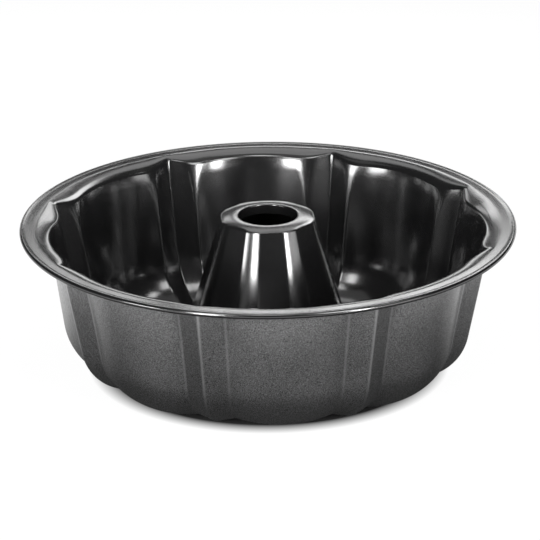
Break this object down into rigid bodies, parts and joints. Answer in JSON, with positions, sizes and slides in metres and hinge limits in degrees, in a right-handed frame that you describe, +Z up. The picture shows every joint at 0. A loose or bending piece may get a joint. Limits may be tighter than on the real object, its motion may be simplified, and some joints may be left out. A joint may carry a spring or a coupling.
{
  "type": "fluted tube pan",
  "caption": "Fluted ring cake pan in coated sheet steel: wide rounded lobes with V-shaped fins between them, a wired flat rim and a tapered, facetted centre tube with a vent.",
  "frame": {"origin": "on the table, under the middle of the pan", "axes": "+Z up along the centre tube's axis, -Y towards the middle of one lobe"},
  "size_m": [0.2498, 0.2498, 0.08],
  "materials": {
    "coated_steel": "non-stick coating: glossy near-black on the food side, satin dark grey with a fine metallic speckle outside",
    "wire": "drawn steel wire"
  },
  "bodies": {
    "root": {"pan_shell": "coated_steel", "centre_tube": "coated_steel", "rim_wire": "wire"}
  },
  "joints": []
}
